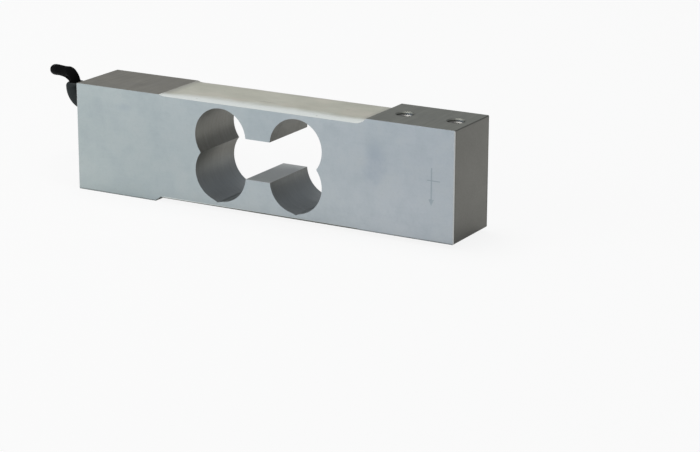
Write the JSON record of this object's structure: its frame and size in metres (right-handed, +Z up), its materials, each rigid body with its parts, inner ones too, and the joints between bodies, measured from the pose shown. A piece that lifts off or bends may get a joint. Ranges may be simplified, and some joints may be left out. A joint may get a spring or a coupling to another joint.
{
  "type": "single point load cell",
  "caption": "Rectangular metal beam load cell with a lobed flexure window, tapped mounting faces, sealed gauge recesses and a cable leaving one end through an elbow boot.",
  "frame": {"origin": "under the middle of the beam, level with the fixed end's mounting pad", "axes": "+X along the beam towards the loaded end, +Y towards the beam's back side, +Z up through the loaded end's pad"},
  "size_m": [0.1831, 0.0524, 0.0401],
  "materials": {
    "aluminium": "satin milled, with fine cutter marks",
    "boot_rubber": "moulded, slightly glossy",
    "brass": "satin",
    "cable_jacket": "smooth PVC jacket",
    "circuit_board": "glass-fibre board with tinned prints",
    "core_insulation": "smooth",
    "enamelled_wire": "enamel over copper",
    "gauge_film": "thin amber film",
    "gauge_foil": "etched foil",
    "heat_shrink": "shrunk sleeve",
    "lead_black": "smooth",
    "lead_green": "smooth",
    "lead_red": "smooth",
    "lead_white": "smooth",
    "nickel_foil": "satin",
    "nylon": "natural",
    "resistor_ceramic": "glazed black",
    "silicone": "cured beige silicone"
  },
  "bodies": {
    "root": {"bridge_board": "circuit_board", "cable": "cable_jacket", "cable_boot": "boot_rubber", "cable_cores": "core_insulation", "cable_hank": "cable_jacket", "cable_inner_end": "cable_jacket", "clamp_ferrule": "brass", "compensation_resistor": "nickel_foil", "cross_wires": "enamelled_wire", "end_sleeve": "heat_shrink", "gauge_backing_top_fixed": "gauge_film", "gauge_backing_top_live": "gauge_film", "gauge_backing_under_fixed": "gauge_film", "gauge_backing_under_live": "gauge_film", "gauge_foil_top_fixed": "gauge_foil", "gauge_foil_top_live": "gauge_foil", "gauge_foil_under_fixed": "gauge_foil", "gauge_foil_under_live": "gauge_foil", "hank_ties": "nylon", "jumper_wires_top": "enamelled_wire", "jumper_wires_under": "enamelled_wire", "lead_black": "lead_black", "lead_green": "lead_green", "lead_red": "lead_red", "lead_white": "lead_white", "potting_top": "silicone", "potting_under": "silicone", "span_resistor": "resistor_ceramic", "spring_body": "aluminium", "terminal_strip": "circuit_board", "zero_resistor": "resistor_ceramic"}
  },
  "joints": []
}
